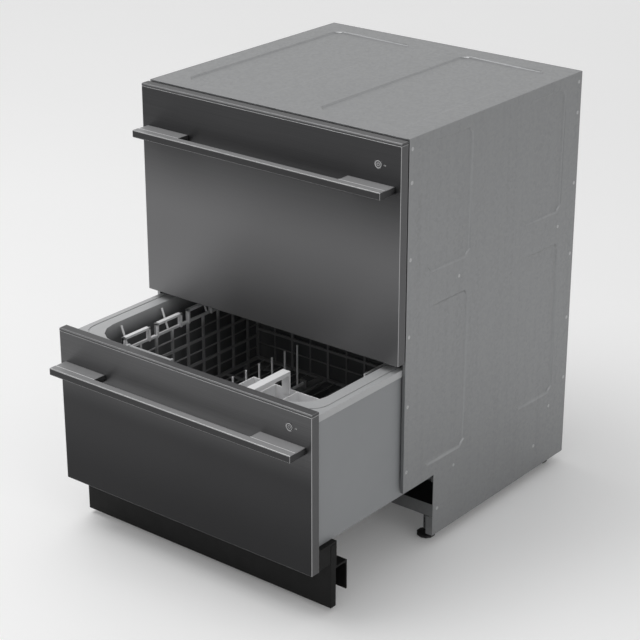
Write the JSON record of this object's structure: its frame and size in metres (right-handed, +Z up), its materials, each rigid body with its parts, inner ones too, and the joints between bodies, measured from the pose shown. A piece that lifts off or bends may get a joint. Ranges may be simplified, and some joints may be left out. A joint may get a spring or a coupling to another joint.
{
  "type": "double-drawer dishwasher",
  "caption": "Built-in dishwasher with drawers that slide out on telescopic runners, the lower one standing open on its racked tub.",
  "frame": {"origin": "middle of the footprint of its box at rest, on the floor under the levelling feet", "axes": "+Z up, +Y from the handles towards the back, +X to the right of someone facing the fronts"},
  "size_m": [0.596, 0.8582, 0.819],
  "materials": {
    "dark_steel": "dark brushed stainless with a clear protective film",
    "handle_steel": "brushed stainless, slightly lighter than the fronts",
    "black_plastic": "moulded, fine grain",
    "grey_plastic": "moulded, satin",
    "shell_paint": "satin grey paint on sheet steel",
    "zinc_steel": "galvanised sheet, faint spangle",
    "runner_steel": "dark plated steel",
    "rack_plastic": "moulded, satin",
    "foot_rubber": "moulded, dull",
    "button_cap": "satin ring"
  },
  "bodies": {
    "chassis": {"chassis_side_left": "zinc_steel", "chassis_side_right": "zinc_steel", "chassis_back": "zinc_steel", "chassis_roof": "zinc_steel", "chassis_base": "zinc_steel", "cross_rail": "zinc_steel", "foot_front_left": "foot_rubber", "foot_front_right": "foot_rubber", "foot_rear_left": "foot_rubber", "foot_rear_right": "foot_rubber", "lower_outer_runner_left": "zinc_steel", "lower_outer_runner_right": "zinc_steel", "lower_lid_guide_left": "black_plastic", "lower_lid_guide_right": "black_plastic", "upper_outer_runner_left": "zinc_steel", "upper_outer_runner_right": "zinc_steel", "upper_lid_guide_left": "black_plastic", "upper_lid_guide_right": "black_plastic"},
    "lower_drawer": {"lower_front_skin": "dark_steel", "lower_front_liner": "black_plastic", "lower_top_cap": "black_plastic", "lower_handle": "handle_steel", "lower_tub": "grey_plastic", "lower_tub_shell": "shell_paint", "lower_filter_plate": "grey_plastic", "lower_wash_motor": "black_plastic", "lower_runner_rail_left": "runner_steel", "lower_runner_rail_right": "runner_steel", "lower_rack": "rack_plastic", "lower_cutlery_basket": "rack_plastic", "kickstrip": "black_plastic", "kick_bracket": "black_plastic"},
    "lower_runners": {"lower_middle_runner_left": "runner_steel", "lower_middle_runner_right": "runner_steel"},
    "lower_lid": {"lower_lid": "grey_plastic"},
    "lower_spray_arm": {"lower_spray_arm": "grey_plastic"},
    "lower_start_button": {"lower_start_button": "button_cap"},
    "lower_tine_row": {"lower_tine_row": "rack_plastic"},
    "lower_cup_shelf": {"lower_cup_shelf": "rack_plastic"},
    "lower_dispenser_flap": {"lower_dispenser_flap": "grey_plastic"},
    "upper_drawer": {"upper_front_skin": "dark_steel", "upper_front_liner": "black_plastic", "upper_top_cap": "black_plastic", "upper_handle": "handle_steel", "upper_tub": "grey_plastic", "upper_tub_shell": "shell_paint", "upper_filter_plate": "grey_plastic", "upper_wash_motor": "black_plastic", "upper_runner_rail_left": "runner_steel", "upper_runner_rail_right": "runner_steel", "upper_rack": "rack_plastic", "upper_cutlery_basket": "rack_plastic"},
    "upper_runners": {"upper_middle_runner_left": "runner_steel", "upper_middle_runner_right": "runner_steel"},
    "upper_lid": {"upper_lid": "grey_plastic"},
    "upper_spray_arm": {"upper_spray_arm": "grey_plastic"},
    "upper_start_button": {"upper_start_button": "button_cap"},
    "upper_tine_row": {"upper_tine_row": "rack_plastic"},
    "upper_cup_shelf": {"upper_cup_shelf": "rack_plastic"},
    "upper_dispenser_flap": {"upper_dispenser_flap": "grey_plastic"}
  },
  "joints": [
    {"name": "lower_drawer_slide", "type": "slide", "parent": "chassis", "child": "lower_drawer", "axis": [0, -1, 0], "range_m": [-0.24, 0.26]},
    {"name": "lower_runner_slide", "type": "slide", "parent": "chassis", "child": "lower_runners", "axis": [0, -1, 0], "range_m": [-0.12, 0.13]},
    {"name": "lower_lid_lift", "type": "slide", "parent": "chassis", "child": "lower_lid", "axis": [0, 0, 1], "range_m": [-0.0154, 0]},
    {"name": "lower_spray_arm_spin", "type": "hinge", "parent": "lower_drawer", "child": "lower_spray_arm", "pos_m": [0, -0.1165, 0.183], "axis": [0, 0, 1], "continuous": true},
    {"name": "lower_start_button_press", "type": "slide", "parent": "lower_drawer", "child": "lower_start_button", "axis": [0, 1, 0], "range_m": [0, 0.001], "stiffness_N_per_m": 1500},
    {"name": "lower_tine_row_fold", "type": "hinge", "parent": "lower_drawer", "child": "lower_tine_row", "pos_m": [-0.06, -0.38715, 0.212], "axis": [0, -1, 0], "range_deg": [0, 80]},
    {"name": "lower_cup_shelf_fold", "type": "hinge", "parent": "lower_drawer", "child": "lower_cup_shelf", "pos_m": [0.215, -0.38715, 0.276], "axis": [0, -1, 0], "range_deg": [0, 90]},
    {"name": "lower_dispenser_flap_turn", "type": "hinge", "parent": "lower_drawer", "child": "lower_dispenser_flap", "pos_m": [-0.12, -0.33425, 0.3858], "axis": [1, 0, 0], "range_deg": [0, 90]},
    {"name": "upper_drawer_slide", "type": "slide", "parent": "chassis", "child": "upper_drawer", "axis": [0, -1, 0], "range_m": [0, 0.5]},
    {"name": "upper_runner_slide", "type": "slide", "parent": "chassis", "child": "upper_runners", "axis": [0, -1, 0], "range_m": [0, 0.25]},
    {"name": "upper_lid_lift", "type": "slide", "parent": "chassis", "child": "upper_lid", "axis": [0, 0, 1], "range_m": [-0.0154, 0]},
    {"name": "upper_spray_arm_spin", "type": "hinge", "parent": "upper_drawer", "child": "upper_spray_arm", "pos_m": [0, 0.1235, 0.563], "axis": [0, 0, 1], "continuous": true},
    {"name": "upper_start_button_press", "type": "slide", "parent": "upper_drawer", "child": "upper_start_button", "axis": [0, 1, 0], "range_m": [0, 0.001], "stiffness_N_per_m": 1500},
    {"name": "upper_tine_row_fold", "type": "hinge", "parent": "upper_drawer", "child": "upper_tine_row", "pos_m": [-0.06, -0.14715, 0.592], "axis": [0, -1, 0], "range_deg": [0, 80]},
    {"name": "upper_cup_shelf_fold", "type": "hinge", "parent": "upper_drawer", "child": "upper_cup_shelf", "pos_m": [0.215, -0.14715, 0.656], "axis": [0, -1, 0], "range_deg": [0, 90]},
    {"name": "upper_dispenser_flap_turn", "type": "hinge", "parent": "upper_drawer", "child": "upper_dispenser_flap", "pos_m": [-0.12, -0.09425, 0.7658], "axis": [1, 0, 0], "range_deg": [0, 90]}
  ],
  "couplings": [
    {"joint": "lower_runner_slide", "follows": "lower_drawer_slide", "ratio": 0.5},
    {"joint": "upper_runner_slide", "follows": "upper_drawer_slide", "ratio": 0.5}
  ]
}
